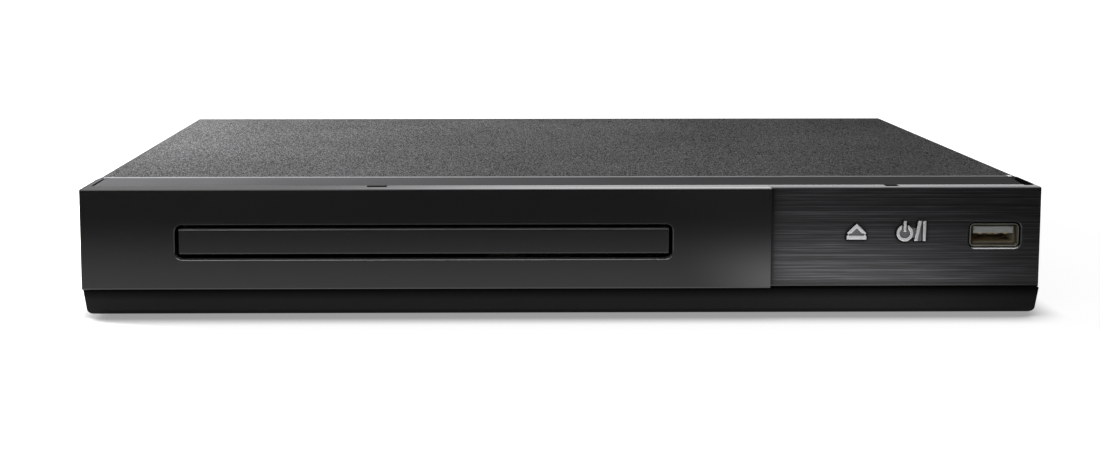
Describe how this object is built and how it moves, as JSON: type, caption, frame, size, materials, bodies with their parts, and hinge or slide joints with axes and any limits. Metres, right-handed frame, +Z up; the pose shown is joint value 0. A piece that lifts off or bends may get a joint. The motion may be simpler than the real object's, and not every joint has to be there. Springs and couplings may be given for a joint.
{
  "type": "disc player with tray",
  "caption": "Slim table-top DVD player: folded steel cover, two-part front with a sliding disc tray, eject and power keys, a USB socket, and rear audio and video jacks.",
  "frame": {"origin": "on the ground, under the middle of the player's bounding box", "axes": "+X to the right seen from the front, +Y to the back, +Z up; the tray slides out towards -Y"},
  "size_m": [0.27, 0.2026, 0.0371],
  "materials": {
    "case_plastic": "fine texture, black",
    "cover_steel": "fine textured dark grey paint",
    "rear_steel": "satin black paint",
    "front_plastic": "smooth satin, black",
    "gloss_black": "high gloss, black",
    "brushed_black": "fine horizontal hairlines, black",
    "door_plastic": "satin, black",
    "foot_rubber": "matte",
    "screw_steel": "nickel plated",
    "key_silver": "satin silver",
    "key_black": "moulded black",
    "board_green": "solder mask",
    "board_tan": "paper laminate",
    "switch_body": "moulded",
    "ir_plastic": "tinted epoxy",
    "led_red": "tinted clear",
    "ribbon_white": "satin film",
    "socket_shell": "bright plated",
    "tongue_plastic": "moulded light grey",
    "contact_gold": "gold flash",
    "loader_plastic": "moulded black",
    "tray_plastic": "fine texture",
    "bridge_steel": "zinc plated",
    "white_acetal": "acetal",
    "magnet_grey": "sintered",
    "motor_can": "plated can",
    "belt_rubber": "matte",
    "bush_rubber": "soft rubber",
    "rod_steel": "ground steel",
    "holder_plastic": "moulded",
    "table_black": "moulded, rubber edged",
    "pickup_cast": "filled plastic",
    "lens_holder_black": "moulded",
    "lens_glass": "coated lens",
    "chip_black": "epoxy",
    "cap_sleeve": "shrink sleeve",
    "winding_yellow": "tape",
    "sink_aluminium": "extruded",
    "fuse_glass": "glass tube",
    "jack_housing": "moulded black",
    "jack_yellow": "moulded"
  },
  "bodies": {
    "player": {"bottom_case": "case_plastic", "top_cover": "cover_steel", "rear_panel": "rear_steel", "front_panel": "front_plastic", "left_fascia": "gloss_black", "right_fascia": "brushed_black", "rubber_feet": "foot_rubber", "cover_screws": "screw_steel", "front_board": "board_green", "tact_switches": "switch_body", "ir_receiver": "ir_plastic", "standby_led": "led_red", "front_ribbon": "ribbon_white", "usb_shell": "socket_shell", "usb_tongue": "tongue_plastic", "usb_contacts": "contact_gold", "loader_frame": "loader_plastic", "clamper_bridge": "bridge_steel", "loading_motor": "motor_can", "drive_belt": "belt_rubber", "loader_board": "board_green", "loader_ribbon": "ribbon_white", "loader_screws": "screw_steel", "main_board": "board_green", "main_chips": "chip_black", "capacitors": "cap_sleeve", "power_board": "board_tan", "transformer": "winding_yellow", "heat_sink": "sink_aluminium", "fuse": "fuse_glass", "jack_block": "jack_housing", "jack_inserts": "jack_yellow", "jack_sleeves": "socket_shell", "mains_inlet": "jack_housing", "inlet_pins": "socket_shell"},
    "eject_key": {"eject_button": "key_silver", "eject_lever": "key_black"},
    "power_key": {"power_button": "key_silver", "power_lever": "key_black"},
    "tray": {"disc_tray": "tray_plastic", "tray_door": "door_plastic"},
    "motor_shaft": {"motor_pulley": "white_acetal"},
    "belt_wheel": {"pulley_gear": "white_acetal"},
    "tray_gear": {"drive_gear": "white_acetal"},
    "cam": {"cam_slider": "white_acetal"},
    "lift": {"lift_frame": "loader_plastic", "damper_bushes": "bush_rubber", "bush_screws": "screw_steel", "traverse_deck": "bridge_steel", "guide_rods": "rod_steel", "rod_holders": "holder_plastic", "spindle_motor": "motor_can", "sled_motor": "motor_can"},
    "disc_drive": {"turntable": "table_black"},
    "clamp": {"clamper": "white_acetal", "clamper_magnet": "magnet_grey"},
    "sled": {"pickup_body": "pickup_cast"},
    "lens": {"lens_holder": "lens_holder_black", "objective_lens": "lens_glass"},
    "sled_screw": {"lead_screw": "rod_steel"}
  },
  "joints": [
    {"name": "tray_slide", "type": "slide", "parent": "player", "child": "tray", "axis": [0, -1, 0], "range_m": [0, 0.135]},
    {"name": "eject_press", "type": "slide", "parent": "player", "child": "eject_key", "axis": [0, 1, 0], "range_m": [0, 0.0006], "stiffness_N_per_m": 900},
    {"name": "power_press", "type": "slide", "parent": "player", "child": "power_key", "axis": [0, 1, 0], "range_m": [0, 0.0006], "stiffness_N_per_m": 900},
    {"name": "tray_gear_turn", "type": "hinge", "parent": "player", "child": "tray_gear", "pos_m": [0.0021, -0.07125, 0.0119], "axis": [0, 0, 1], "range_deg": [-860.3, 0]},
    {"name": "belt_wheel_turn", "type": "hinge", "parent": "player", "child": "belt_wheel", "pos_m": [-0.01552, -0.07766, 0.0119], "axis": [0, 0, 1], "range_deg": [0, 2212.19]},
    {"name": "motor_shaft_turn", "type": "hinge", "parent": "player", "child": "motor_shaft", "pos_m": [-0.062, -0.07725, 0.0119], "axis": [0, 0, 1], "range_deg": [0, 10665.27]},
    {"name": "lift_tilt", "type": "hinge", "parent": "player", "child": "lift", "pos_m": [-0.0389, 0.06375, 0.0143], "axis": [1, 0, 0], "range_deg": [0, 3.5]},
    {"name": "cam_slide", "type": "slide", "parent": "player", "child": "cam", "axis": [1, 0, 0], "range_m": [0, 0.0121]},
    {"name": "disc_spin", "type": "hinge", "parent": "lift", "child": "disc_drive", "pos_m": [-0.0389, -0.03325, 0.0183], "axis": [0, 0, 1], "continuous": true},
    {"name": "clamp_spin", "type": "hinge", "parent": "player", "child": "clamp", "pos_m": [-0.0389, -0.03325, 0.0263], "axis": [0, 0, 1], "continuous": true},
    {"name": "sled_slide", "type": "slide", "parent": "lift", "child": "sled", "axis": [0, 1, 0], "range_m": [0, 0.034]},
    {"name": "sled_screw_turn", "type": "hinge", "parent": "lift", "child": "sled_screw", "pos_m": [0.0001, -0.02225, 0.0135], "axis": [0, 1, 0], "range_deg": [0, 4084.08]},
    {"name": "lens_focus", "type": "slide", "parent": "sled", "child": "lens", "axis": [0, 0, 1], "range_m": [-0.0004, 0.0004], "stiffness_N_per_m": 60}
  ],
  "couplings": [
    {"joint": "tray_gear_turn", "follows": "tray_slide", "rad_per_m": -111.11},
    {"joint": "belt_wheel_turn", "follows": "tray_slide", "rad_per_m": 285.71},
    {"joint": "motor_shaft_turn", "follows": "tray_slide", "rad_per_m": 1377.5},
    {"joint": "cam_slide", "follows": "lift_tilt", "m_per_rad": 0.19644},
    {"joint": "sled_screw_turn", "follows": "sled_slide", "rad_per_m": 2094.4}
  ]
}
